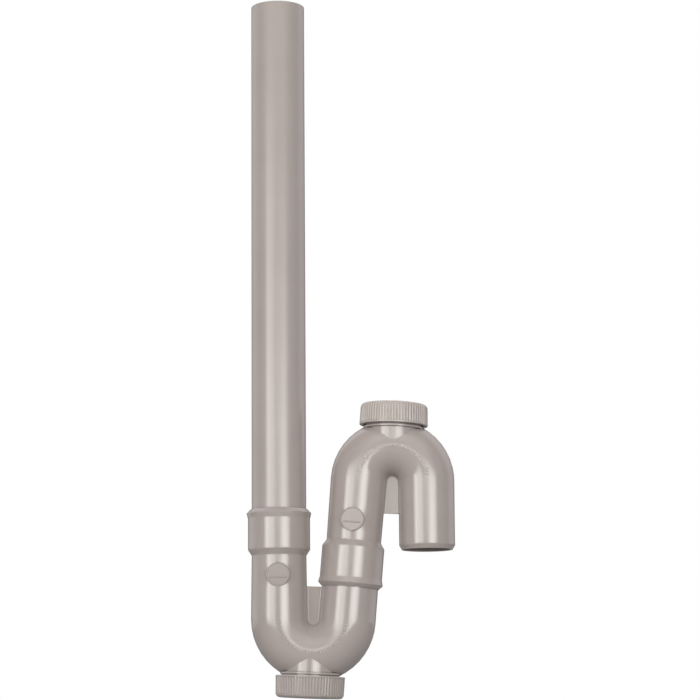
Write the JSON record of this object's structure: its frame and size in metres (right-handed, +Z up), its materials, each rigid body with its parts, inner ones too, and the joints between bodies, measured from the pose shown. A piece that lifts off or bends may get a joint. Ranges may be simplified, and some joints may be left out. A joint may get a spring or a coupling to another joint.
{
  "type": "washing machine trap",
  "caption": "Tall standpipe over a double U-bend drain trap, with ribbed screw caps on the bends for cleaning.",
  "frame": {"origin": "on the outlet spigot's axis, where the mouth of the next pipe socket comes, 25.6 mm above the spigot's end", "axes": "+Z up along the standpipe, +X from the standpipe towards the outlet, +Y away from the viewer of the marked side"},
  "size_m": [0.1522, 0.0502, 0.5183],
  "materials": {
    "pipe_plastic": "satin",
    "moulded_plastic": "satin",
    "cap_plastic": "satin",
    "gasket_rubber": "matte"
  },
  "bodies": {
    "trap": {"standpipe": "pipe_plastic", "lower_bend": "moulded_plastic", "upper_bend": "moulded_plastic"},
    "lower_gasket": {"lower_gasket": "gasket_rubber"},
    "lower_cap": {"lower_cap": "cap_plastic"},
    "upper_gasket": {"upper_gasket": "gasket_rubber"},
    "upper_cap": {"upper_cap": "cap_plastic"}
  },
  "joints": [
    {"name": "lower_cap_travel", "type": "slide", "parent": "trap", "child": "lower_gasket", "axis": [-0.0436, 0, -0.999], "range_m": [0, 0.01051]},
    {"name": "lower_cap_turn", "type": "hinge", "parent": "lower_gasket", "child": "lower_cap", "pos_m": [-0.08611, 0, -0.12515], "axis": [-0.0436, 0, -0.999], "range_deg": [0, 1080]},
    {"name": "upper_cap_travel", "type": "slide", "parent": "trap", "child": "upper_gasket", "axis": [0.0436, 0, 0.999], "range_m": [0, 0.01051]},
    {"name": "upper_cap_turn", "type": "hinge", "parent": "upper_gasket", "child": "upper_cap", "pos_m": [-0.02322, 0, 0.07463], "axis": [0.0436, 0, 0.999], "range_deg": [0, 1080]}
  ],
  "couplings": [
    {"joint": "lower_cap_travel", "follows": "lower_cap_turn", "m_per_rad": 0.00055704},
    {"joint": "upper_cap_travel", "follows": "upper_cap_turn", "m_per_rad": 0.00055704}
  ]
}
